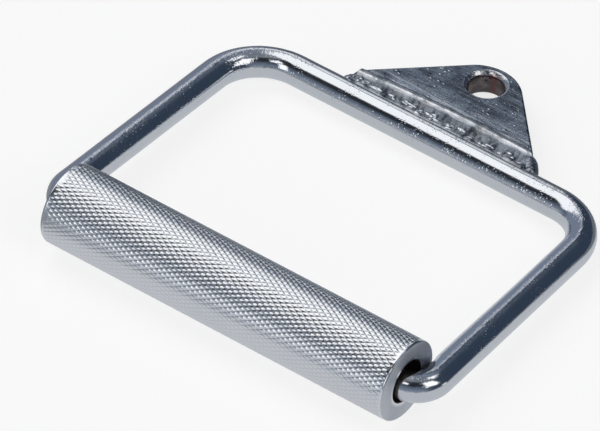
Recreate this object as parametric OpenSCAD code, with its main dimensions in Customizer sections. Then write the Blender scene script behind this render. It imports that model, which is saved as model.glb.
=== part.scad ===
// Single hand grip handle of the closed "D" kind: a round bar bent into a
// closed loop, a knurled tube that turns freely on the front of the loop, and
// an eye plate welded to the back rail. The handle lies as it comes to rest:
// on the grip tube in front and on the tip of the eye plate behind.
// Millimetres. +X runs along the grip, +Y from the grip to the eye, +Z is up.

/* [Loop bar] */
// Diameter of the round bar
bar_d = 10.5; // [8:0.1:12]
// Distance between the leg centre lines at the grip
front_w = 145.6; // [137:0.1:170]
// Distance between the leg centre lines at the back rail
back_w = 139.3; // [132:0.1:163]
// Distance from the grip bar centre line to the back rail centre line
loop_depth = 102.5; // [85:0.5:130]
// Bend radius of the bar's centre line at the two front corners
front_r = 8.5; // [7:0.1:8.5]
// Bend radius of the bar's centre line at the back left corner
back_r_left = 19.5; // [12:0.5:22]
// Bend radius of the bar's centre line at the back right corner
back_r_right = 17.5; // [12:0.5:22]

/* [Grip tube] */
// Outside diameter over the knurl
sleeve_d = 28; // [26:0.5:34]
// Length of the tube
sleeve_l = 133.8; // [110:0.1:133.8]
// Diameter of the plain bore
sleeve_bore = 15; // [14.5:0.1:17]
// Chamfer on the outer rim of each end
sleeve_chamfer = 0.8; // [0.3:0.1:1.5]
// Chamfer at each mouth of the bore
bore_chamfer = 0.7; // [0.5:0.1:1]
// Gap left where the bar lies in the bottom of the bore
rest_gap = 0.1; // [0.06:0.01:0.2]
// Where the tube has slid along the bar, from the middle
sleeve_shift = 0.15; // [-0.15:0.05:0.15]

/* [Eye plate] */
// Thickness of the plate
plate_t = 9.5; // [7:0.1:9.8]
// Width that the slanted edges would reach at the rail's centre line
plate_w = 86.4; // [80:0.2:100]
// Width of the plate where it is welded on
plate_base = 71; // [60:0.5:75]
// Radius of the rounded tip
tip_r = 14.5; // [13:0.5:16]
// Distance from the rail's centre line to the centre of the tip radius
tip_y = 24.2; // [22:0.2:30]
// Sideways offset of the plate's base from the middle of the rail
plate_shift = 1.5; // [-4:0.1:4]
// Sideways offset of the tip from the middle of the plate's base
tip_x = 2.2; // [-3:0.1:3]
// Chamfer along the plate's edges
plate_chamfer = 0.5; // [0.2:0.1:1]
// Diameter of the eye
eye_d = 12; // [10:0.1:13]
// Distance from the rail's centre line to the centre of the eye
eye_y = 29.4; // [28:0.2:30]
// Sideways offset of the eye from the middle of the plate's base
eye_x = 1.8; // [-2.5:0.1:2.5]
// Countersink of the eye on each face
eye_chamfer = 1.3; // [0.5:0.1:1.5]

/* [Welds] */
// Distance from the rail's centre line to the toe of the weld on the plate
weld_toe = 8.6; // [8:0.1:11]
// Height of the rounded weld face over a straight line from toe to toe
weld_crown = 0.8; // [0.4:0.1:1]
// Radius of the weld run that wraps each end of the plate
weld_end_r = 5; // [4.6:0.1:5.6]

/* [Hidden] */
$fn = 96;

bar_r = bar_d / 2;
sleeve_r = sleeve_d / 2;

// bend geometry, seen from above
leg_a = atan2(loop_depth, (back_w - front_w) / 2);
front_t = front_r * tan(leg_a / 2);
function back_t(r) = r * tan((180 - leg_a) / 2);

// joint ring between each straight and bend: width, height over the bar and
// the gap it closes; it makes one body of the lengths and is too low to see
ring_w = 0.6;
ring_h = 0.02;
ring_gap = 0.1;

// how the handle lies: the bar rests in the bottom of the bore, and the lower
// edge of the plate's tip meets the surface
bar_z = sleeve_r - (sleeve_bore / 2 - bar_r - rest_gap);
tip_reach = loop_depth + tip_y + tip_r;
contact_l = tip_reach - plate_chamfer;
lie_a = asin(bar_z / norm([contact_l, plate_t / 2])) - atan2(plate_t / 2, contact_l);
back_reach = tip_reach * cos(lie_a) + (plate_t / 2 - plate_chamfer) * sin(lie_a);
grip_y = (sleeve_r - back_reach) / 2;

// outline of the plate: tangents from the rail's centre line to the tip radius
// (s is 1 for the right edge and -1 for the left one)
function edge_k(s) = norm([plate_w / 2 - s * tip_x, tip_y]);
function edge_a(s) = 180 - atan2(tip_y, plate_w / 2 - s * tip_x) - asin(tip_r / edge_k(s));
function edge_l(s) = sqrt(edge_k(s) * edge_k(s) - tip_r * tip_r);
function tan_p(s) = [s * (plate_w / 2 + edge_l(s) * cos(edge_a(s))), edge_l(s) * sin(edge_a(s))];
function base_p(s) = [s * plate_base / 2, (plate_base - plate_w) / 2 * tan(edge_a(s))];

// weld section: a circle through the toe on the plate and the toe on the bar
weld_a = 66;
toe_bar = [bar_r * cos(weld_a), bar_r * sin(weld_a)];
toe_plate = [weld_toe, plate_t / 2];
toe_d = toe_plate - toe_bar;
toe_n = norm(toe_d);
weld_r = (toe_n * toe_n / 4 + weld_crown * weld_crown) / (2 * weld_crown);
weld_c = (toe_bar + toe_plate) / 2
         + [toe_d[1], -toe_d[0]] / toe_n * (weld_r - weld_crown);

// places its children in the plane of the bar loop, with the middle of the
// grip bar as their origin
module in_loop() {
    translate([0, grip_y, bar_z]) rotate([-lie_a, 0, 0]) children();
}

// one bend of the bar about the centre c, from angle a0 to angle a1
module bend(c, r, a0, a1) {
    translate([c[0], c[1], 0]) rotate([0, 0, a0])
        rotate_extrude(angle = a1 - a0) translate([r, 0]) circle(d = bar_d);
}

// round bar of length l that starts at p and runs at angle a in the plane
module run(p, a, l) {
    translate([p[0], p[1], 0]) rotate([0, 0, a]) rotate([0, 90, 0])
        translate([0, 0, ring_gap]) cylinder(h = l - 2 * ring_gap, d = bar_d);
}

// ring at p, across the bar's direction a, that joins a straight to a bend
module joint_ring(p, a) {
    translate([p[0], p[1], 0]) rotate([0, 0, a]) rotate([0, 90, 0])
        cylinder(h = ring_w, d = bar_d + 2 * ring_h, center = true);
}

// front bend, leg and back bend of radius rb, on the +X side
module side(rb) {
    bt = back_t(rb);
    leg_l = norm([(front_w - back_w) / 2, loop_depth]) - front_t - bt;
    bend([front_w / 2 - front_t, front_r], front_r, -90, leg_a - 90);
    run([front_w / 2 + front_t * cos(leg_a), front_t * sin(leg_a)], leg_a, leg_l);
    bend([back_w / 2 - bt, loop_depth - rb], rb, leg_a - 90, 90);
    joint_ring([front_w / 2 - front_t, 0], 0);
    joint_ring([front_w / 2 + front_t * cos(leg_a), front_t * sin(leg_a)], leg_a);
    joint_ring([back_w / 2 - bt * cos(leg_a), loop_depth - bt * sin(leg_a)], leg_a);
    joint_ring([back_w / 2 - bt, loop_depth], 0);
}

// the closed loop, one bar bent at four corners
module frame_bar() {
    color([0.72, 0.73, 0.76])
    in_loop() {
        side(back_r_right);
        mirror([1, 0, 0]) side(back_r_left);
        run([-(front_w / 2 - front_t), 0], 0, front_w - 2 * front_t);
        run([-(back_w / 2 - back_t(back_r_left)), loop_depth], 0,
            back_w - back_t(back_r_left) - back_t(back_r_right));
    }
}

// solid rail, used to cope the plate and the welds to the bar
module rail_cope() {
    translate([-60, 0, 0]) rotate([0, 90, 0]) cylinder(h = 120, d = bar_d);
}

// chamfers along one slanted edge, above and below
module edge_cuts(s) {
    mirror([s < 0 ? 1 : 0, 0, 0]) translate([plate_w / 2, 0, 0]) rotate([0, 0, edge_a(s)])
        for (m = [0, 1]) mirror([0, 0, m])
            translate([0, 0, plate_t / 2 - plate_chamfer]) rotate([45, 0, 0])
                translate([-10, -12, 0]) cube([10 + edge_l(s), 24, 12]);
}

// body of the plate before the rail and the eye are cut
module plate_body() {
    difference() {
        translate([0, 0, -plate_t / 2]) linear_extrude(plate_t)
            polygon([[-plate_base / 2, 0], [plate_base / 2, 0], base_p(1), tan_p(1),
                     [tip_x, tip_y], tan_p(-1), base_p(-1)]);
        edge_cuts(1);
        edge_cuts(-1);
    }
    translate([tip_x, tip_y, -plate_t / 2]) {
        cylinder(h = plate_chamfer, r1 = tip_r - plate_chamfer, r2 = tip_r);
        translate([0, 0, plate_chamfer]) cylinder(h = plate_t - 2 * plate_chamfer, r = tip_r);
        translate([0, 0, plate_t - plate_chamfer])
            cylinder(h = plate_chamfer, r1 = tip_r, r2 = tip_r - plate_chamfer);
    }
}

// eye with a countersink on each face
module eye_cut() {
    translate([eye_x, eye_y, 0]) {
        translate([0, 0, -plate_t]) cylinder(h = 2 * plate_t, d = eye_d);
        for (m = [0, 1]) mirror([0, 0, m]) translate([0, 0, plate_t / 2 - eye_chamfer])
            cylinder(h = eye_chamfer + 0.01, r1 = eye_d / 2, r2 = eye_d / 2 + eye_chamfer + 0.01);
    }
}

// flat triangular plate with a rounded tip and one eye
module eye_plate() {
    color([0.42, 0.45, 0.5])
    in_loop() translate([plate_shift, loop_depth, 0])
    difference() {
        plate_body();
        rail_cope();
        eye_cut();
    }
}

// weld run on the upper side: the bead along the base and a lump round each end
module weld_run() {
    difference() {
        intersection() {
            union() {
                rotate([90, 0, 90]) translate([0, 0, -plate_base / 2])
                    linear_extrude(plate_base) intersection() {
                        translate(weld_c) circle(r = weld_r);
                        translate([toe_bar[0] - 1, 0]) square([12, 12]);
                    }
                for (s = [-1, 1])
                    translate([s * (plate_base / 2 - 0.9), 7, 0]) sphere(r = weld_end_r);
            }
            translate([-60, 0, 0]) cube([120, 20, 12]);
        }
        rail_cope();
        plate_body();
    }
}

// weld between the bar and the upper face of the plate
module top_weld() {
    color([0.5, 0.5, 0.52])
    in_loop() translate([plate_shift, loop_depth, 0]) weld_run();
}

// weld between the bar and the lower face of the plate
module bottom_weld() {
    color([0.5, 0.5, 0.52])
    in_loop() translate([plate_shift, loop_depth, 0]) mirror([0, 0, 1]) weld_run();
}

// knurled tube with a plain bore, free to turn on the bar
module grip_sleeve() {
    color([0.8, 0.82, 0.85])
    translate([sleeve_shift - sleeve_l / 2, grip_y, sleeve_r]) rotate([0, 90, 0])
    difference() {
        union() {
            cylinder(h = sleeve_chamfer, r1 = sleeve_r - sleeve_chamfer, r2 = sleeve_r);
            translate([0, 0, sleeve_chamfer])
                cylinder(h = sleeve_l - 2 * sleeve_chamfer, r = sleeve_r);
            translate([0, 0, sleeve_l - sleeve_chamfer])
                cylinder(h = sleeve_chamfer, r1 = sleeve_r, r2 = sleeve_r - sleeve_chamfer);
        }
        translate([0, 0, -1]) cylinder(h = sleeve_l + 2, d = sleeve_bore);
        translate([0, 0, -0.01])
            cylinder(h = bore_chamfer + 0.01, r1 = sleeve_bore / 2 + bore_chamfer + 0.01, r2 = sleeve_bore / 2);
        translate([0, 0, sleeve_l - bore_chamfer])
            cylinder(h = bore_chamfer + 0.01, r1 = sleeve_bore / 2, r2 = sleeve_bore / 2 + bore_chamfer + 0.01);
    }
}

frame_bar();
eye_plate();
top_weld();
bottom_weld();
grip_sleeve();
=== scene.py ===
import math
import bpy
import bmesh
import numpy as np
from mathutils import Matrix, Vector


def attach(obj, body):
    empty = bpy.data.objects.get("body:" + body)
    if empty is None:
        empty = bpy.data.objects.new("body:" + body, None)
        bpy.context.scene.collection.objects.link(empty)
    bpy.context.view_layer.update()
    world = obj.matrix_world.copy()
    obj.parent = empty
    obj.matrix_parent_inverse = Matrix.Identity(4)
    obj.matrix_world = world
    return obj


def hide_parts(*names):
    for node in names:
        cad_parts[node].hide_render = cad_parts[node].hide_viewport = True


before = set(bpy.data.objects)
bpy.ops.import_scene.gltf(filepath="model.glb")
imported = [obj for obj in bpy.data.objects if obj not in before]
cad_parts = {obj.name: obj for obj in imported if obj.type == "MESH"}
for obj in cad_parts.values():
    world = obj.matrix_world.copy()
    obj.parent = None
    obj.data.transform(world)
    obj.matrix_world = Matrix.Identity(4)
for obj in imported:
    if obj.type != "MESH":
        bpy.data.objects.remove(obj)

scene = bpy.context.scene
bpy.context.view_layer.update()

# ------------------------------------------------------------------ sizes (mm)
BAR_R = 5.25
FRONT_W, BACK_W, DEPTH = 145.6, 139.3, 102.5
R_FRONT, R_LEFT, R_RIGHT = 8.5, 19.5, 17.5
LIE = math.radians(2.894958390557591)
GRIP_Y = -63.61722389417615
BAR_Z = 11.85
TUBE_R, BORE_R = 14.0, 7.5
TUBE_Z = 14.0
X0, X1 = -66.75, 67.05
PLATE_X, PLATE_T, PLATE_W, PLATE_BASE = 1.5, 9.5, 86.4, 71.0
TIP_X, TIP_Y, TIP_R = 2.2, 24.2, 14.5
EYE_X, EYE_Y, EYE_R, EYE_CH = 1.8, 29.4, 6.0, 1.3
CL, SL = math.cos(LIE), math.sin(LIE)


def loop_to_row(P):
    """Loop frame (bar centreline in z 0) to the row frame, in mm."""
    P = np.asarray(P, float)
    return np.stack([P[:, 0], GRIP_Y + P[:, 1] * CL + P[:, 2] * SL, BAR_Z - P[:, 1] * SL + P[:, 2] * CL], 1)


def toe_drift(x):
    """How far, in mm, the weld's outer toe strays from the rail at that x of the plate."""
    u = np.clip((np.asarray(x, float) + 34.0) / 68.9, 0, 1)
    return 1.9 * u + 1.3 * np.sin(math.pi * u)


def plate_to_row(P):
    P = np.asarray(P, float)
    return loop_to_row(P + np.array([PLATE_X, DEPTH, 0.0]))


# ------------------------------------------------------------------ noise for shapes
def _hash(i, j, k, seed):
    h = (i * 374761393 + j * 668265263 + k * 1274126177 + seed * 974634777) & 0xFFFFFFFF
    h = ((h ^ (h >> 13)) * 1103515245) & 0xFFFFFFFF
    h = ((h ^ (h >> 15)) * 668265263) & 0xFFFFFFFF
    return ((h ^ (h >> 16)) & 0xFFFFFF) / float(0xFFFFFF) * 2.0 - 1.0


def noise(P, size, seed=0):
    """Smooth value noise from -1 to 1 with features of that size in mm."""
    q = np.asarray(P, float) / size + 1000.0
    b = np.floor(q).astype(np.int64)
    t = q - b
    t = t * t * t * (t * (t * 6 - 15) + 10)
    out = 0
    for dx in (0, 1):
        for dy in (0, 1):
            for dz in (0, 1):
                w = (t[:, 0] if dx else 1 - t[:, 0]) * (t[:, 1] if dy else 1 - t[:, 1]) * (t[:, 2] if dz else 1 - t[:, 2])
                out = out + w * _hash(b[:, 0] + dx, b[:, 1] + dy, b[:, 2] + dz, seed)
    return out


def step(a, b, x):
    t = np.clip((np.asarray(x, float) - a) / (b - a), 0, 1)
    return t * t * (3 - 2 * t)


def piece(name, verts, faces, mat, sharp=None, smooth=True):
    me = bpy.data.meshes.new(name)
    me.from_pydata((np.asarray(verts) * 0.001).tolist(), [], faces if isinstance(faces, list) else faces.tolist())
    me.validate()
    me.update()
    # a closed piece whose winding gives it a negative volume is turned out
    me.calc_loop_triangles()
    tri = np.empty(3 * len(me.loop_triangles), np.int32)
    me.loop_triangles.foreach_get("vertices", tri)
    q = np.asarray(verts, float)[tri.reshape(-1, 3)]
    if name in ("loop_bar", "grip_tube", "eye_lug") and np.sum(q[:, 0] * np.cross(q[:, 1], q[:, 2])) < 0:
        me.flip_normals()
        me.update()
    me.polygons.foreach_set("use_smooth", [smooth] * len(me.polygons))
    if sharp is not None:
        me.set_sharp_from_angle(angle=math.radians(sharp))
    me.materials.append(mat)
    ob = bpy.data.objects.new(name, me)
    scene.collection.objects.link(ob)
    return ob


def grid_faces(nu, nv, wrap_u, wrap_v):
    """Quads of a grid whose vertex (i, j) has the number i * nv + j."""
    i, j = np.meshgrid(np.arange(nu if wrap_u else nu - 1), np.arange(nv if wrap_v else nv - 1), indexing="ij")
    i, j = i.ravel(), j.ravel()
    i2, j2 = (i + 1) % nu, (j + 1) % nv
    return np.stack([i * nv + j, i2 * nv + j, i2 * nv + j2, i * nv + j2], 1)


# ------------------------------------------------------------------ node helpers
class Tree:
    def __init__(self, nt):
        self.nt = nt

    def new(self, kind, **kw):
        n = self.nt.nodes.new(kind)
        for k, v in kw.items():
            setattr(n, k, v)
        return n

    def put(self, sock, v):
        if isinstance(v, bpy.types.NodeSocket):
            self.nt.links.new(v, sock)
        else:
            if sock.type == "RGBA" and len(v) == 3:
                v = (*v, 1.0)
            sock.default_value = v

    def m(self, op, a, b=None, c=None, clamp=False):
        n = self.new("ShaderNodeMath", operation=op, use_clamp=clamp)
        for s, v in zip(n.inputs, (a, b, c)):
            if v is not None:
                self.put(s, v)
        return n.outputs[0]

    def rng(self, v, a, b, c=0.0, d=1.0, kind="SMOOTHSTEP"):
        n = self.new("ShaderNodeMapRange", interpolation_type=kind)
        for s, x in zip(n.inputs, (v, a, b, c, d)):
            self.put(s, x)
        return n.outputs[0]

    def mix(self, f, a, b):
        n = self.new("ShaderNodeMix", data_type="RGBA")
        self.put(n.inputs[0], f)
        self.put(n.inputs[6], a)
        self.put(n.inputs[7], b)
        return n.outputs[2]

    def noise(self, vec, scale, detail=3.0, rough=0.55, dist=0.0):
        n = self.new("ShaderNodeTexNoise")
        self.put(n.inputs["Vector"], vec)
        n.inputs["Scale"].default_value = scale
        n.inputs["Detail"].default_value = detail
        n.inputs["Roughness"].default_value = rough
        n.inputs["Distortion"].default_value = dist
        return n.outputs["Fac"]

    def voronoi(self, vec, scale, feature="F1", rnd=1.0):
        n = self.new("ShaderNodeTexVoronoi", feature=feature)
        self.put(n.inputs["Vector"], vec)
        n.inputs["Scale"].default_value = scale
        n.inputs["Randomness"].default_value = rnd
        return n.outputs["Distance"]

    def stretch(self, vec, scale, rot=(0, 0, 0)):
        n = self.new("ShaderNodeMapping")
        self.put(n.inputs["Vector"], vec)
        n.inputs["Rotation"].default_value = rot
        n.inputs["Scale"].default_value = scale
        return n.outputs[0]

    def bump(self, height, dist, strength=1.0, normal=None):
        n = self.new("ShaderNodeBump")
        n.inputs["Strength"].default_value = strength
        n.inputs["Distance"].default_value = dist
        self.put(n.inputs["Height"], height)
        if normal is not None:
            self.put(n.inputs["Normal"], normal)
        return n.outputs[0]


def metal(name):
    mat = bpy.data.materials.new(name)
    mat.use_nodes = True
    nt = mat.node_tree
    nt.nodes.clear()
    t = Tree(nt)
    out = t.new("ShaderNodeOutputMaterial")
    p = t.new("ShaderNodeBsdfPrincipled")
    nt.links.new(p.outputs[0], out.inputs[0])
    p.inputs["Metallic"].default_value = 1.0
    pos = t.new("ShaderNodeTexCoord").outputs["Object"]
    return mat, t, p, pos


def attr(t, name):
    n = t.new("ShaderNodeAttribute", attribute_name=name)
    return n.outputs["Fac"]


# ------------------------------------------------------------------ materials
def bar_material():
    mat, t, p, pos = metal("bar_chrome_mat")
    cloud = t.noise(pos, 90.0, 4.0)
    fine = t.noise(pos, 900.0, 3.0)
    specks = t.rng(t.voronoi(pos, 1150.0), 0.40, 0.08)
    rare = t.rng(t.noise(pos, 110.0, 4.0, 0.65), 0.46, 0.58)
    specks = t.m("MULTIPLY", specks, rare)
    bend = attr(t, "bend")
    frost_and_sheen = t.m("MULTIPLY", attr(t, "frost_and_sheen"), t.rng(t.noise(pos, 480.0, 4.0, 0.7), 0.36, 0.56))
    col = t.mix(cloud, (0.64, 0.655, 0.69), (0.73, 0.745, 0.775))
    col = t.mix(t.m("MULTIPLY", specks, 0.25), col, (0.42, 0.42, 0.45))
    # painted highlight: along the top of the left leg the colour is lightened; the added roughness and ripples there
    # are real frosted plating
    col = t.mix(t.m("MULTIPLY", frost_and_sheen, 0.8), col, (0.88, 0.885, 0.91))
    t.put(p.inputs["Base Color"], col)
    r = t.rng(cloud, 0.3, 0.7, 0.075, 0.125, "LINEAR")
    r = t.m("ADD", r, t.m("MULTIPLY", frost_and_sheen, 0.12))
    r = t.m("ADD", r, t.m("MULTIPLY", specks, 0.2))
    r = t.m("ADD", r, t.rng(fine, 0.4, 0.8, 0.0, 0.05, "LINEAR"))
    t.put(p.inputs["Roughness"], r)
    peel = t.bump(t.noise(pos, 420.0, 2.0), 0.000011)
    rip = t.bump(t.m("MULTIPLY", t.noise(pos, 700.0, 3.0, 0.6), bend), 0.00005, 1.0, peel)
    rip = t.bump(t.m("MULTIPLY", t.noise(pos, 1100.0, 3.0, 0.6), frost_and_sheen), 0.00012, 1.0, rip)
    n = t.bump(t.m("MULTIPLY", specks, -1.0), 0.000028, 1.0, rip)
    t.put(p.inputs["Normal"], n)
    return mat


def plate_material():
    mat, t, p, pos = metal("plate_chrome_mat")
    cloud = t.noise(pos, 120.0, 5.0, 0.6)
    fine = t.noise(pos, 1300.0, 3.0)
    line_a = t.noise(t.stretch(pos, (110.0, 2400.0, 900.0), (0, 0, 0.10)), 1.0, 3.0, 0.6)
    line_b = t.noise(t.stretch(pos, (160.0, 2300.0, 900.0), (0, 0, -0.30)), 1.0, 3.0, 0.6)
    scratch = t.m("MAXIMUM", t.rng(line_a, 0.55, 0.70), t.rng(line_b, 0.60, 0.74))
    smudge = t.rng(t.noise(t.stretch(pos, (70.0, 230.0, 230.0), (0, 0, 0.1)), 1.0, 4.0, 0.6), 0.40, 0.62)
    pits = t.rng(t.voronoi(pos, 430.0), 0.20, 0.06)
    pits = t.m("MULTIPLY", pits, t.rng(t.noise(pos, 260.0, 2.0), 0.54, 0.64))
    ground_streaks_and_sheen = attr(t, "ground_streaks_and_sheen")
    streak = t.noise(t.stretch(pos, (70.0, 1500.0, 500.0)), 1.0, 4.0, 0.6)
    dings_and_glints = t.rng(t.voronoi(t.stretch(pos, (330.0, 620.0, 300.0), (0, 0, 0.4)), 1.0), 0.30, 0.08)
    dings_and_glints = t.m("MULTIPLY", dings_and_glints, t.rng(t.noise(pos, 130.0, 3.0, 0.6), 0.46, 0.57))
    # painted shade: the plate's chrome gets a very low base colour, standing in for the dim reflection on its faces;
    # the noise only varies it at random
    col = t.mix(smudge, (0.095, 0.115, 0.148), (0.235, 0.275, 0.335))
    # ground streaks along the weld's toe: real grinding marks in roughness and bump, with the colour lightened as a
    # painted highlight
    col = t.mix(t.m("MULTIPLY", ground_streaks_and_sheen, t.rng(streak, 0.42, 0.62)), col, (0.58, 0.61, 0.66))
    col = t.mix(t.m("MULTIPLY", scratch, 0.55), col, (0.62, 0.64, 0.68))
    col = t.mix(t.m("MULTIPLY", pits, 0.5), col, (0.12, 0.12, 0.125))
    # painted glints: the dents are lightened in colour; their bump is real
    col = t.mix(t.rng(dings_and_glints, 0.05, 0.6, 0.0, 0.75), col, (0.80, 0.81, 0.84))
    eye = attr(t, "eye")
    wall = t.mix(t.rng(t.noise(pos, 300.0, 3.0), 0.4, 0.65), (0.30, 0.25, 0.235), (0.52, 0.42, 0.385))
    col = t.mix(t.rng(eye, 0.0, 0.4), col, (0.62, 0.62, 0.64))
    col = t.mix(t.rng(eye, 0.6, 0.9), col, wall)
    col = t.mix(t.m("MULTIPLY", attr(t, "rust"), t.rng(fine, 0.3, 0.55, 0.5, 0.9)), col, (0.46, 0.20, 0.18))
    t.put(p.inputs["Base Color"], col)
    r = t.rng(cloud, 0.3, 0.7, 0.15, 0.24, "LINEAR")
    r = t.m("ADD", r, t.m("MULTIPLY", pits, 0.2))
    r = t.m("ADD", r, t.m("MULTIPLY", ground_streaks_and_sheen, t.rng(streak, 0.42, 0.62, 0.0, 0.16)))
    t.put(p.inputs["Roughness"], r)
    b = t.bump(t.noise(pos, 330.0, 4.0, 0.6), 0.00013)
    b = t.bump(t.m("MULTIPLY", streak, ground_streaks_and_sheen), 0.00006, 1.0, b)
    b = t.bump(dings_and_glints, 0.00016, 1.0, b)
    b = t.bump(scratch, 0.00003, 1.0, b)
    b = t.bump(fine, 0.00001, 1.0, b)
    b = t.bump(t.m("MULTIPLY", pits, -1.0), 0.00010, 1.0, b)
    t.put(p.inputs["Normal"], b)
    return mat


def weld_material():
    mat, t, p, pos = metal("weld_chrome_mat")
    cloud = t.noise(pos, 260.0, 4.0, 0.6)
    fine = t.noise(pos, 1600.0, 3.0)
    tint = t.noise(pos, 90.0, 2.0)
    col = t.mix(t.rng(cloud, 0.35, 0.7), (0.27, 0.285, 0.31), (0.50, 0.52, 0.56))
    toe = attr(t, "toe")
    # painted highlight: a bright broken line along the toe, sparkles near the bar and the bead's left end are
    # lightened in colour
    col = t.mix(t.m("MULTIPLY", toe, t.rng(cloud, 0.38, 0.5)), col, (0.80, 0.81, 0.84))
    col = t.mix(t.m("MULTIPLY", t.rng(tint, 0.5, 0.7), 0.35), col, (0.27, 0.235, 0.215))
    # painted highlight: the raised beads of metal are coloured near-white
    col = t.mix(t.rng(attr(t, "beads_and_glints"), 0.15, 0.5), col, (0.96, 0.965, 0.98))
    t.put(p.inputs["Base Color"], col)
    r = t.rng(fine, 0.3, 0.7, 0.24, 0.40, "LINEAR")
    r = t.m("ADD", r, t.m("MULTIPLY", t.rng(attr(t, "beads_and_glints"), 0.2, 0.6), 0.08))
    t.put(p.inputs["Roughness"], r)
    b = t.bump(t.noise(pos, 600.0, 3.0, 0.55), 0.000045)
    b = t.bump(fine, 0.00002, 1.0, b)
    t.put(p.inputs["Normal"], b)
    return mat


def tube_material():
    mat, t, p, pos = metal("grip_chrome_mat")
    cloud = t.noise(pos, 70.0, 4.0)
    fine = t.noise(pos, 1500.0, 3.0)
    groove = attr(t, "groove")
    inside = attr(t, "inside")
    face = attr(t, "face")
    col = t.mix(cloud, (0.76, 0.77, 0.795), (0.84, 0.845, 0.86))
    # painted shade: the knurl's grooves are darkened in colour; the extra roughness there is real
    col = t.mix(t.m("MULTIPLY", groove, 0.22), col, (0.36, 0.36, 0.39))
    col = t.mix(t.m("MULTIPLY", face, t.rng(cloud, 0.3, 0.7, 0.5, 0.9)), col, (0.44, 0.46, 0.50))
    col = t.mix(t.m("MULTIPLY", inside, t.rng(cloud, 0.3, 0.6, 0.75, 1.0)), col, (0.34, 0.30, 0.255))
    t.put(p.inputs["Base Color"], col)
    r = t.rng(fine, 0.3, 0.7, 0.13, 0.20, "LINEAR")
    r = t.m("ADD", r, t.m("MULTIPLY", groove, 0.08))
    r = t.m("ADD", r, t.m("MULTIPLY", inside, 0.25))
    r = t.m("ADD", r, t.m("MULTIPLY", face, 0.28))
    t.put(p.inputs["Roughness"], r)
    b = t.bump(t.noise(pos, 800.0, 3.0), 0.00002)
    t.put(p.inputs["Normal"], b)
    return mat


def set_attr(ob, name, values):
    a = ob.data.attributes.new(name, "FLOAT", "POINT")
    a.data.foreach_set("value", np.asarray(values, np.float32))


# ------------------------------------------------------------------ the loop of bar
def centreline():
    V = [np.array(v) for v in ((FRONT_W / 2, 0.0), (BACK_W / 2, DEPTH), (-BACK_W / 2, DEPTH), (-FRONT_W / 2, 0.0))]
    rad = [R_FRONT, R_RIGHT, R_LEFT, R_FRONT]
    arcs = []
    for i in range(4):
        a, b, c = V[i - 1], V[i], V[(i + 1) % 4]
        d1, d2 = (b - a) / np.linalg.norm(b - a), (c - b) / np.linalg.norm(c - b)
        ang = math.acos(float(np.clip(d1 @ d2, -1, 1)))
        t = rad[i] * math.tan(ang / 2)
        arcs.append((b - d1 * t, b + d2 * t, d1, ang, rad[i]))
    pts, nrm, bend = [], [], []
    for i in range(4):
        s0, (s1, e1, d1, ang, r) = arcs[i - 1][1], arcs[i]
        L = np.linalg.norm(s1 - s0)
        out = np.array([d1[1], -d1[0]])
        n = int(round(L / 0.95))
        for k in range(n):
            u = k / n
            pts.append(s0 + (s1 - s0) * u)
            nrm.append(out)
            e = min(u, 1 - u) * L
            bend.append(0.5 * math.exp(-e / 5.0))
        inn = np.array([-d1[1], d1[0]])
        cen = s1 + inn * r
        m = int(round(ang * r / 0.42))
        for k in range(m):
            th = ang * k / m
            o = -inn * math.cos(th) + d1 * math.sin(th)
            pts.append(cen + r * o)
            nrm.append(o)
            bend.append(0.5 + 0.5 * math.sin(math.pi * k / m))
    return np.array(pts), np.array(nrm), np.array(bend)


def make_bar(mat):
    pts, nrm, bend = centreline()
    nu, nv = len(pts), 72
    al = np.arange(nv) / nv * 2 * math.pi
    ca, sa = np.cos(al)[None], np.sin(al)[None]
    b = bend[:, None]
    flat = np.clip(b * 2 - 1, 0, 1)
    rn = BAR_R * (1 - 0.018 * flat)
    rz = BAR_R * (1 - 0.004 * flat)
    c3 = np.concatenate([pts, np.zeros((nu, 1))], 1)
    n3 = np.concatenate([nrm, np.zeros((nu, 1))], 1)
    P = c3[:, None] + n3[:, None] * (rn * ca)[..., None] + np.array([0, 0, 1.0]) * (rz * sa)[..., None]
    P = P.reshape(-1, 3)
    out = (n3[:, None] * ca[..., None] + np.array([0, 0, 1.0]) * sa[..., None]).reshape(-1, 3)
    bb = np.repeat(bend, nv)
    d = 0.016 * noise(P, 9.0, 3) + 0.010 * noise(P, 3.5, 4)
    d = d + bb * (0.020 * noise(P, 2.2, 5) + 0.012 * noise(P, 1.2, 6))
    P = P + out * (d - 0.02)[:, None]
    swell = 0.42 * step(13.0, 16.0, P[:, 1]) * (1 - step(22.0, 62.0, P[:, 1])) * (P[:, 0] > 50)
    P[:, 0] -= swell * np.clip(-out[:, 0], 0, 1)
    ob = piece("loop_bar", loop_to_row(P), grid_faces(nu, nv, True, True)[:, ::-1], mat)
    leg = step(8.0, 18.0, P[:, 1]) * (1 - step(80.0, 92.0, P[:, 1]))
    blotch = 0.62 + 0.38 * noise(P, 7.0, 8)
    phi = np.degrees(np.arctan2(out[:, 2], out[:, 0]))
    long_leg = step(4.0, 10.0, P[:, 1]) * (1 - step(84.0, 96.0, P[:, 1]))
    # mask of frosted plating along the top of the legs, mostly the left; the bar's material also lightens its colour
    # there, a painted highlight
    frost_and_sheen = np.exp(-np.abs((phi - 89.0) / 9.0) ** 3) * long_leg * np.where(P[:, 0] < 0, 1.0, 0.28)
    set_attr(ob, "frost_and_sheen", frost_and_sheen)
    set_attr(ob, "bend", np.maximum(bb, leg * blotch * np.where(P[:, 0] < 0, 0.95, 0.5)))
    return ob


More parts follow.
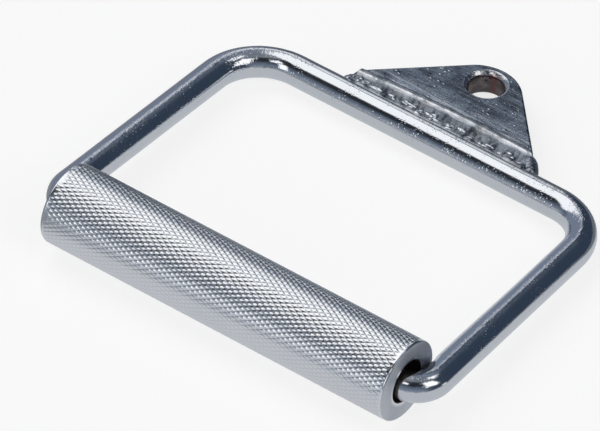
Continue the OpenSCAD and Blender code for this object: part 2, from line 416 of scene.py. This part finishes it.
# ------------------------------------------------------------------ the knurled tube
def make_tube(mat):
    per, k, depth = 3.2, 50, 0.170
    xa, xb = X0 + 0.86, X1 - 0.86
    rows = int(round((xb - xa) / 0.4 / 2)) * 2
    dx = (xb - xa) / rows
    nv = 200
    i = np.repeat(np.arange(rows + 1), nv)
    m = 2 * np.tile(np.arange(nv), rows + 1) + (i % 2)
    a, b = ((i + m) // 2) % 4, ((i - m) // 2) % 4
    tri = np.array([0.0, 0.5, 1.0, 0.5])
    h = np.minimum(tri[a], tri[b])
    x = xa + dx * i
    th = 2 * math.pi * m / (2 * nv)
    fade = step(-0.2, 1.0, np.minimum(x - xa, xb - x))
    h = np.interp(h, [0, 0.5, 1.0], [0, 0.56, 1.0])
    P0 = np.stack([x, 14 * np.cos(th), 14 * np.sin(th)], 1)
    wear = 0.025 * noise(P0, 6.0, 11) + 0.02 * noise(P0, 1.6, 12)
    r = TUBE_R - 0.01 - depth * (1 - h * (1 + wear)) * fade - 0.10 * (1 - fade)
    r = np.minimum(r, TUBE_R)
    verts = [np.stack([x, r * np.cos(th), r * np.sin(th)], 1)]
    # mask of the knurl's grooves, which the material darkens as painted shade and also roughens
    groove = [np.clip(1 - h * 1.4, 0, 1) * fade]
    faces = []

    def idx(ii, mm):
        return ii * nv + ((mm % (2 * nv)) // 2)

    ii = np.repeat(np.arange(rows - 1), nv)
    mm = 2 * np.tile(np.arange(nv), rows - 1) + (ii % 2)
    L, R_, T, B = idx(ii, mm), idx(ii + 2, mm), idx(ii + 1, mm + 1), idx(ii + 1, mm - 1)
    ha, hb = (((ii + mm) // 2) % 4) // 2, (((ii - mm) // 2) % 4) // 2
    ax = ha == hb
    faces.append(np.stack([L, T, R_], 1)[ax])
    faces.append(np.stack([L, R_, B], 1)[ax])
    faces.append(np.stack([L, T, B], 1)[~ax])
    faces.append(np.stack([T, R_, B], 1)[~ax])
    for row, nxt, flip in ((0, 1, False), (rows, rows - 1, True)):
        mr = 2 * np.arange(nv) + (row % 2)
        f = np.stack([idx(row, mr), idx(row, mr + 2), idx(nxt, mr + 1)], 1)
        faces.append(f[:, ::-1] if flip else f)
    faces = np.concatenate(faces)
    # turned ends and the bore, all on the same 200 angles (rows is even, so both ends share them)
    th = 2 * math.pi * np.arange(nv) / nv

    def arc(cx, cr, rad, a0, a1, n):
        return [(cx + rad * math.cos(math.radians(a0 + (a1 - a0) * q / n)), cr + rad * math.sin(math.radians(a0 + (a1 - a0) * q / n))) for q in range(n + 1)]

    right = [(xb + 0.08, TUBE_R - 0.10)]
    right += arc(X1 - 0.70, TUBE_R - 0.82, 0.70, 86, 2, 9)
    right += [(X1, TUBE_R - 1.4), (X1, 12.0), (X1 - 0.01, 11.0), (X1 - 0.01, 10.0), (X1, 9.0)]
    right += arc(X1 - 0.45, BORE_R + 0.45, 0.45, 0, -86, 8)
    nb = 26
    bore = [(X1 - 1.3 - (X1 - X0 - 2.6) * q / nb, BORE_R) for q in range(nb + 1)]
    left = [(X0 + X1 - px, pr) for px, pr in reversed(right)]
    prof = right + bore + left
    base = (rows + 1) * nv
    rx, rr = np.array([q[0] for q in prof]), np.array([q[1] for q in prof])
    ring = np.stack([np.repeat(rx, nv), np.outer(rr, np.cos(th)).ravel(), np.outer(rr, np.sin(th)).ravel()], 1)
    face_n = ((ring[:, 0] > X1 - 0.4) | (ring[:, 0] < X0 + 0.4)) & (np.hypot(ring[:, 1], ring[:, 2]) > 8.4)
    ring[:, 0] -= np.sign(ring[:, 0]) * face_n * (0.012 + 0.012 * noise(ring, 3.0, 21))
    verts.append(ring)
    groove.append(np.zeros(len(ring)))
    n = len(prof)
    g = grid_faces(n, nv, False, True) + base
    jt = np.arange(nv)
    jt2 = (jt + 1) % nv
    join = np.stack([rows * nv + jt, base + jt, base + jt2, rows * nv + jt2], 1)
    join2 = np.stack([base + (n - 1) * nv + jt, jt, jt2, base + (n - 1) * nv + jt2], 1)
    allf = [tuple(f) for f in faces[:, ::-1].tolist()] + [tuple(f) for f in np.concatenate([g, join, join2]).tolist()]
    V = np.concatenate(verts)
    depth_in = np.concatenate([np.zeros(base), (np.repeat(rr, nv) < BORE_R + 0.2) * 1.0])
    W = np.stack([V[:, 0], V[:, 1] + GRIP_Y, V[:, 2] + TUBE_Z], 1)
    ob = piece("grip_tube", W, allf, mat, sharp=24)
    set_attr(ob, "groove", np.concatenate(groove))
    set_attr(ob, "inside", depth_in)
    set_attr(ob, "face", np.concatenate([np.zeros(base), face_n * 1.0]))
    return ob


# ------------------------------------------------------------------ the eye plate
def half_planes():
    """Outward normals and offsets, n . p <= d, of the plate's outline in the plate frame."""
    out = []
    for s in (1, -1):
        px = s * PLATE_W / 2
        dx, dy = TIP_X - px, TIP_Y
        dist = math.hypot(dx, dy)
        a = math.atan2(dy, dx) - s * math.asin(TIP_R / dist)
        nx, ny = math.sin(a) * s, -math.cos(a) * s
        out.append((nx, ny, nx * px))
        out.append((s, 0.0, PLATE_BASE / 2))
    a0, a1 = math.atan2(out[0][1], out[0][0]), math.atan2(out[2][1], out[2][0])
    for q in range(241):
        a = a0 + (a1 - a0) * q / 240
        out.append((math.cos(a), math.sin(a), math.cos(a) * TIP_X + math.sin(a) * TIP_Y + TIP_R))
    out.append((0.0, -1.0, 0.0))
    return np.array(out)


def make_plate(mat):
    H = half_planes()
    nt = 384
    th = np.arange(nt) / nt * 2 * math.pi
    D = np.stack([np.cos(th), np.sin(th)], 1)
    E = np.array([EYE_X, EYE_Y])

    def reach(inset):
        nd = D @ H[:, :2].T
        gap = H[:, 2] - inset - H[:, :2] @ E
        t = np.where(nd > 1e-6, gap[None] / np.maximum(nd, 1e-6), 1e9)
        return t.min(1)

    half = PLATE_T / 2
    rnd = 0.75
    rings = []          # (radius array, z) with a flag for the faces
    hole = EYE_R
    wall = half - EYE_CH
    for q in range(7):
        rings.append((np.full(nt, hole), -wall + 2 * wall * q / 6, 0))
    for q in range(1, 6):
        u = q / 5
        bulge = 0.10 * math.sin(math.pi * u)
        rings.append((np.full(nt, hole + EYE_CH * u - bulge * 0.7), wall + EYE_CH * u + bulge * 0.3 - 0.03 * (q == 5), 0))
    rings.append((np.full(nt, hole + EYE_CH + 0.25), half, 1))
    edge = reach(rnd)
    n_in = 44
    for q in range(1, n_in + 1):
        u = q / n_in
        rings.append(((hole + EYE_CH + 0.25) * (1 - u) + edge * u, half, 1))
    for q in range(1, 7):
        a = math.pi / 2 * q / 6
        rings.append((reach(rnd * (1 - math.sin(a))), half - rnd * (1 - math.cos(a)), 1 if q == 1 else 0))
    for q in range(1, 6):
        rings.append((reach(0.0), (half - rnd) * (1 - 2 * q / 6), 0))
    up = rings[7:7 + 5 + 1 + n_in + 6]
    for rr, z, f in reversed(up):
        rings.append((rr, -z, -f))
    P, flag = [], []
    for rr, z, f in rings:
        P.append(np.stack([E[0] + D[:, 0] * rr, E[1] + D[:, 1] * rr, np.full(nt, z)], 1))
        flag.append(np.full(nt, f))
    P, flag = np.concatenate(P), np.concatenate(flag)
    dz = 0.035 * noise(P, 11.0, 31) + 0.020 * noise(P, 4.5, 32) + 0.008 * noise(P, 2.0, 33)
    P[:, 2] += (dz - 0.05) * (flag > 0) - (dz - 0.05) * (flag < 0)
    low = 1.3 * (1 - step(7.4, 8.9, P[:, 1] - toe_drift(P[:, 0])))
    P[:, 2] = np.where(np.abs(P[:, 2]) > 3.0, P[:, 2] - np.sign(P[:, 2]) * low, P[:, 2])
    # a shallow ground hollow along the weld's toe
    from_toe = P[:, 1] - toe_drift(P[:, 0]) - 8.3
    ground = (0.14 + 0.16 * (1 - step(4.0, 22.0, P[:, 0]))) * (1 + 0.35 * noise(P * np.array([1, 0.4, 0]), 6.0, 36))
    hollow = ground * (1 - np.clip(from_toe / (3.0 + 1.3 * noise(P * np.array([1, 0, 0]), 6.0, 37)), 0, 1))
    P[:, 2] = np.where((np.abs(P[:, 2]) > 3.0) & (flag != 0), P[:, 2] - np.sign(P[:, 2]) * hollow, P[:, 2])
    rough = 0.03 * noise(P, 3.0, 34)
    side = flag == 0
    v = P[:, :2] - E
    v /= np.linalg.norm(v, axis=1, keepdims=True)
    far = np.linalg.norm(P[:, :2] - E, axis=1) > 9
    P[:, :2] -= v * ((0.03 + rough) * (side & far))[:, None]
    ob = piece("eye_lug", plate_to_row(P), grid_faces(len(rings), nt, True, True)[:, ::-1], mat)
    drift = toe_drift(P[:, 0])
    # band of ground streaks along the weld's toe; the material lightens it as a painted highlight, besides roughening
    # and bumping it
    sm = step(8.4, 9.4, P[:, 1] - drift) * (1 - step(11.2, 15.0, P[:, 1] - drift + 0.8 * noise(P, 6.0, 35)))
    set_attr(ob, "ground_streaks_and_sheen", np.clip(sm, 0, 1))
    rad = np.linalg.norm(P[:, :2] - E, axis=1)
    turn = np.degrees(np.arctan2(P[:, 1] - E[1], P[:, 0] - E[0]))
    set_attr(ob, "rust", np.exp(-((turn - 97.0) / 10.0) ** 2) * (rad < EYE_R + 0.4))
    set_attr(ob, "eye", np.where(rad < EYE_R + 0.05, 1.0, np.where(rad < EYE_R + EYE_CH + 0.1, 0.5, 0.0)))
    return ob


# ------------------------------------------------------------------ the welds
def blobs(P):
    """Beads of metal in loose groups along the weld, from 0 to 1; the weld's material colours them near-white, a
    painted highlight on real lumps.
    """
    g = np.random.default_rng(12)
    out = np.zeros(len(P))
    for lo, hi, n in ((-34, -22, 15), (-21, -15, 3), (-14, 1, 18), (3, 11, 8), (12, 18, 2), (18, 26, 8), (27, 34, 3)):
        for face in (1, -1):
            for _ in range(n):
                x, y = g.uniform(lo, hi), 4.8 + g.normal(0, 0.85)
                a, b, tilt = g.uniform(0.45, 1.2), g.uniform(0.30, 0.5), g.uniform(-0.25, 0.45)
                ct, st = math.cos(tilt), math.sin(tilt)
                u, w = P[:, 0] - x, P[:, 1] - y
                r2 = ((u * ct + w * st) / a) ** 2 + ((w * ct - u * st) / b) ** 2
                out = np.maximum(out, np.exp(-r2 ** 1.5) * (P[:, 2] * face > 3.0))
    return out


def make_welds(mat):
    half = PLATE_T / 2
    sec = [(0.8, 3.6), (1.4, 4.50), (2.0, 4.88), (2.7, 4.98), (3.4, 4.84), (4.2, 4.68), (5.0, 4.56), (5.8, 4.46), (6.6, 4.38), (7.1, 4.40),
           (7.5, 4.58), (7.9, 4.80), (8.3, 4.92), (8.8, 4.86), (9.4, 4.76), (10.0, 4.62), (10.4, 4.2), (9.6, 3.2), (9.0, 2.4), (3.0, 2.4)]
    bm = bmesh.new()
    for s in (1, -1):
        ends = []
        for x in np.linspace(-34.0, 34.9, 15):
            row = []
            for y, z in sec:
                y = y + float(toe_drift(x)) * float(step(5.0, 7.6, y))
                lim = 42.7 - 0.891 * y
                row.append(bm.verts.new((float(np.clip(x, -lim, lim)), y, s * z)))
            ends.append(row)
        n = len(sec)
        for one, two in zip(ends[:-1], ends[1:]):
            for q in range(n):
                bm.faces.new((one[q], one[(q + 1) % n], two[(q + 1) % n], two[q]))
        bm.faces.new(ends[0])
        bm.faces.new(ends[-1][::-1])
    for s in (1, -1):
        r = bmesh.ops.create_uvsphere(bm, u_segments=40, v_segments=24, radius=5.0)
        for v in r["verts"]:
            a, b = v.co.x * 0.62, v.co.y * 1.12      # long side along the plate's slanting edge
            a, b = (a, b) if s > 0 else (a * 0.8, b * 0.85)
            v.co = Vector((s * (34.7 + 0.746 * a - 0.665 * b), 7.0 + 0.665 * a + 0.746 * b, (4.78 if s > 0 else 2.75) * math.copysign((abs(v.co.z) / 5.0) ** 0.62, v.co.z)))
    bmesh.ops.recalc_face_normals(bm, faces=bm.faces)
    me = bpy.data.meshes.new("weld_base")
    bm.to_mesh(me)
    bm.free()
    tmp = bpy.data.objects.new("weld_base", me)
    scene.collection.objects.link(tmp)
    md = tmp.modifiers.new("r", "REMESH")
    md.mode = "VOXEL"
    md.voxel_size = 0.23
    sm = tmp.modifiers.new("s", "SMOOTH")
    sm.iterations = 2
    dg = bpy.context.evaluated_depsgraph_get()
    got = bpy.data.meshes.new_from_object(tmp.evaluated_get(dg))
    bpy.data.objects.remove(tmp)
    nv = len(got.vertices)
    P = np.empty(nv * 3, np.float32)
    got.vertices.foreach_get("co", P)
    P = P.reshape(-1, 3).astype(float)
    N = np.empty(nv * 3, np.float32)
    got.vertices.foreach_get("normal", N)
    N = N.reshape(-1, 3).astype(float)
    # along the bead, then round its ends
    ex = np.clip(np.abs(P[:, 0]) - 33.5, 0, None)
    ang = np.arctan2(ex, np.abs(P[:, 2]))
    s = np.sign(P[:, 0]) * (np.minimum(np.abs(P[:, 0]), 33.5) + 5.0 * ang)
    v = (P[:, 1] - 5.3) / 3.3
    side = np.where(P[:, 2] > 0, 0, 50)
    wob = 0.55 * noise(np.stack([s, P[:, 1], side * 1.0], 1), 5.0, 41)
    end = step(32.5, 35.5, np.abs(P[:, 0]))
    ph = (s + wob + 1.1 * v * v) / 2.05
    ph_end = (-0.665 * (np.abs(P[:, 0]) - 34.7) + 0.746 * (P[:, 1] - 7.0) + 0.3 * wob) / 1.55
    ph = np.where(end > 0.5, ph_end, ph)
    rip = np.abs(np.sin(math.pi * ph)) ** 0.7 - 0.6
    amp = 0.10 * (1 - 0.6 * np.clip(np.abs(v), 0, 1.2) ** 3) * (0.65 + 0.35 * noise(np.stack([s, side * 1.0, side * 0.0], 1), 9.0, 42))
    drift = toe_drift(P[:, 0])
    calm = (1 - 0.65 * step(6.8, 7.8, P[:, 1] - drift) * (1 - end)) * (1 - 0.45 * end)
    amp = np.where(end > 0.5, 0.20, amp) * (1 - 0.8 * (4 * end * (1 - end)))
    d = amp * rip + calm * (0.16 * noise(P + side[:, None], 4.6, 43) + 0.12 * noise(P + side[:, None], 2.1, 44) + 0.012 * noise(P, 0.9, 45))
    d = d + 0.16 * np.exp(-((P[:, 1] - 3.3) / 0.9) ** 2) * noise(P * np.array([0.6, 1, 1]), 1.6, 46)
    d = d + 0.27 * blobs(P)
    P = P + N * d[:, None]
    got.vertices.foreach_set("co", P.astype(np.float32).ravel())
    got.update()
    obs = []
    for name, s in (("weld_top", 1), ("weld_bottom", -1)):
        bm = bmesh.new()
        bm.from_mesh(got)
        geo = bm.verts[:] + bm.edges[:] + bm.faces[:]
        bmesh.ops.bisect_plane(bm, geom=geo, plane_co=(0, 0, s * 0.01), plane_no=(0, 0, -s), clear_outer=True)
        rim = [e for e in bm.edges if e.is_boundary]
        bmesh.ops.holes_fill(bm, edges=rim, sides=0)
        bmesh.ops.triangulate(bm, faces=[f for f in bm.faces if len(f.verts) > 4])
        bmesh.ops.recalc_face_normals(bm, faces=bm.faces)
        me = bpy.data.meshes.new(name)
        bm.to_mesh(me)
        bm.free()
        n = len(me.vertices)
        Q = np.empty(n * 3, np.float32)
        me.vertices.foreach_get("co", Q)
        Q = Q.reshape(-1, 3)
        slide = toe_drift(Q[:, 0])
        # where the weld's material paints highlights: a broken line along the toe, sparkles near the bar, the left
        # end
        weld_highlight_at = np.clip(np.exp(-((Q[:, 1] - slide - 7.9) / 0.35) ** 2) * (0.45 + 0.55 * (noise(Q * np.array([0.35, 1, 1]), 2.6, 48) > -0.25)) + 0.8 * np.exp(-((Q[:, 1] - 3.0) / 0.6) ** 2) * (noise(Q, 2.2, 47) > 0.15) + 0.55 * (Q[:, 0] < -34.5), 0, 1)
        beads_and_glints_at = blobs(Q)
        Q = plate_to_row(Q) * 0.001
        me.vertices.foreach_set("co", Q.astype(np.float32).ravel())
        me.polygons.foreach_set("use_smooth", [True] * len(me.polygons))
        me.update()
        me.set_sharp_from_angle(angle=math.radians(70))
        me.materials.clear()
        me.materials.append(mat)
        ob = bpy.data.objects.new(name, me)
        scene.collection.objects.link(ob)
        set_attr(ob, "toe", weld_highlight_at)
        set_attr(ob, "beads_and_glints", beads_and_glints_at)
        obs.append(ob)
    bpy.data.meshes.remove(got)
    return obs


bar = make_bar(bar_material())
tube = make_tube(tube_material())
plate = make_plate(plate_material())
weld_top, weld_bottom = make_welds(weld_material())

for ob, body, node, slot in (
    (bar, "frame", "frame_bar", "bar_chrome"),
    (plate, "frame", "eye_plate", "plate_chrome"),
    (weld_top, "frame", "top_weld", "weld_chrome"),
    (weld_bottom, "frame", "bottom_weld", "weld_chrome"),
    (tube, "grip", "grip_sleeve", "grip_chrome"),
):
    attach(ob, body)
    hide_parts(node)

# ------------------------------------------------------------------ floor
me = bpy.data.meshes.new("floor")
me.from_pydata([(-30, -30, 0), (30, -30, 0), (30, 30, 0), (-30, 30, 0)], [], [(0, 1, 2, 3)])
floor = bpy.data.objects.new("floor", me)
floor.location.z = -0.00005
scene.collection.objects.link(floor)
fm = bpy.data.materials.new("floor_mat")
fm.use_nodes = True
fm.node_tree.nodes.clear()
t = Tree(fm.node_tree)
out = t.new("ShaderNodeOutputMaterial")
path = t.new("ShaderNodeLightPath")
seen = t.new("ShaderNodeEmission")
seen.inputs[0].default_value = (0.93, 0.921, 0.911, 1)
seen.inputs[1].default_value = 0.811
add = t.new("ShaderNodeAddShader")
dim = t.new("ShaderNodeBsdfDiffuse")
dim.inputs[0].default_value = (0.42, 0.42, 0.42, 1)
t.put(add.inputs[0], seen.outputs[0])
t.put(add.inputs[1], dim.outputs[0])
glow = t.new("ShaderNodeEmission")
xyz = t.new("ShaderNodeSeparateXYZ")
t.put(xyz.inputs[0], t.new("ShaderNodeTexCoord").outputs["Object"])
px, py = xyz.outputs[0], xyz.outputs[1]
# for reflection rays the floor turns darker behind the rail and off to the left: painted shade standing in for the
# floor in the object's shadow
behind = t.rng(py, 0.044, 0.060)
left = t.rng(px, -0.070, -0.082)
painted_shade = t.m("MAXIMUM", behind, t.m("MULTIPLY", left, 0.75))
t.put(glow.inputs[0], t.mix(painted_shade, (0.61, 0.635, 0.665), (0.17, 0.185, 0.21)))
glow.inputs[1].default_value = 1.0
mx = t.new("ShaderNodeMixShader")
t.put(mx.inputs[0], path.outputs["Is Camera Ray"])
t.put(mx.inputs[1], glow.outputs[0])
t.put(mx.inputs[2], add.outputs[0])
t.put(out.inputs[0], mx.outputs[0])
me.materials.append(fm)

# ------------------------------------------------------------------ studio light
world = bpy.data.worlds.new("studio")
scene.world = world
world.use_nodes = True
world.node_tree.nodes.clear()
t = Tree(world.node_tree)
out = t.new("ShaderNodeOutputWorld")
bg = t.new("ShaderNodeBackground")
xyz = t.new("ShaderNodeSeparateXYZ")
t.put(xyz.inputs[0], t.new("ShaderNodeTexCoord").outputs["Generated"])
dx, dy, dz = xyz.outputs
deg = 57.29578
az = t.m("MULTIPLY", t.m("ARCTAN2", dx, dy), deg)          # 0 towards +Y, 90 towards +X
el = t.m("MULTIPLY", t.m("ARCSINE", dz), deg)


def span(v, lo, hi, s0, s1=None):
    s1 = s0 if s1 is None else s1
    return t.m("MULTIPLY", t.rng(v, lo - s0, lo + s0), t.rng(v, hi + s1, hi - s1))


def both(a, b):
    return t.m("MULTIPLY", a, b)


navy = (0.043, 0.061, 0.090)
side = t.m("ABSOLUTE", az)
col = t.mix(t.rng(el, 62, 76), navy, (0.25, 0.27, 0.30))
col = t.mix(both(t.rng(side, 95, 125), t.rng(el, 44, -4, 0.0, 1.0, "LINEAR")), col, (0.30, 0.36, 0.45))
col = t.mix(both(t.rng(side, 95, 112), span(el, 42, 70, 6)), col, (0.024, 0.029, 0.036))
col = t.mix(both(span(az, -25, 105, 12), t.rng(el, 50, 62)), col, (0.19, 0.22, 0.26))
col = t.mix(both(span(az, -28, 52, 5), t.rng(el, 48, 36)), col, (0.037, 0.056, 0.090))
col = t.mix(both(t.rng(az, 22, -22), both(t.rng(az, -60, -50), span(el, 48, 64, 6))), col, (0.22, 0.265, 0.35))
col = t.mix(both(span(az, -104, -33, 9, 4), t.rng(el, 48, 42)), col, (0.225, 0.265, 0.350))
edge_lo = t.m("ADD", 41.0, t.m("MULTIPLY", t.rng(az, -62.0, -112.0), -11.0))
above = t.rng(t.m("SUBTRACT", el, edge_lo), -2.0, 2.5)
big = both(both(span(az, -119, -33.5, 6, 1.5), above), t.rng(el, 86, 76))
col = t.mix(big, col, (1.26, 1.28, 1.29))
lean = t.m("ADD", az, t.m("MULTIPLY", el, 0.28))
strip = both(span(lean, -24.0, -18.6, 1.2, 1.6), both(t.rng(el, 4, 34), t.rng(el, 39.5, 34.5)))
col = t.mix(strip, col, (1.15, 1.18, 1.20))
col = t.mix(both(span(az, -39.5, -29.5, 2, 2), span(el, 19, 28.5, 2.5)), col, (1.15, 1.18, 1.20))
win = both(span(az, 74, 112, 2), span(el, 27, 60, 2))
col = t.mix(win, col, (1.5, 1.5, 1.5))
win2 = both(span(az, -178, -157, 1.5), span(el, 12, 42, 2))
col = t.mix(win2, col, (1.45, 1.46, 1.48))
col = t.mix(both(t.rng(side, 162.5, 165.5), span(el, 46, 60, 1.5)), col, (1.4, 1.42, 1.44))
win3 = both(span(az, 14, 50, 2), span(el, 57, 69, 1.5))
col = t.mix(win3, col, (1.45, 1.46, 1.48))
col = t.mix(both(span(az, 61, 73, 1.5), span(el, -1, 6, 1)), col, (1.3, 1.32, 1.34))
path = t.new("ShaderNodeLightPath")
col = t.mix(path.outputs["Is Camera Ray"], col, (0.93, 0.93, 0.93))
t.put(bg.inputs[0], col)
t.put(out.inputs[0], bg.outputs[0])

# ------------------------------------------------------------------ camera
cam = bpy.data.cameras.new("camera")
cam.sensor_fit = "HORIZONTAL"
cam.sensor_width = 36.0
cam.lens = 564.7026868580033
cam.clip_start, cam.clip_end = 0.05, 200.0
cam_ob = bpy.data.objects.new("camera", cam)
scene.collection.objects.link(cam_ob)
right = (0.8048737655840201, 0.5928528638698233, 0.02652740612929503)
up = (-0.4182163436072355, 0.5349335743895325, 0.7341261205887128)
back = (0.421038372852635, -0.6019730498886037, 0.6784947573809381)
place = (1.253727199108783, -1.8217886611618137, 2.0416231275972327)
cam_ob.matrix_world = Matrix([(right[i], up[i], back[i], place[i]) for i in range(3)] + [(0, 0, 0, 1)])
scene.camera = cam_ob

scene.view_settings.view_transform = "Standard"
scene.view_settings.look = "None"
scene.view_settings.exposure = 0.0
scene.view_settings.gamma = 1.0
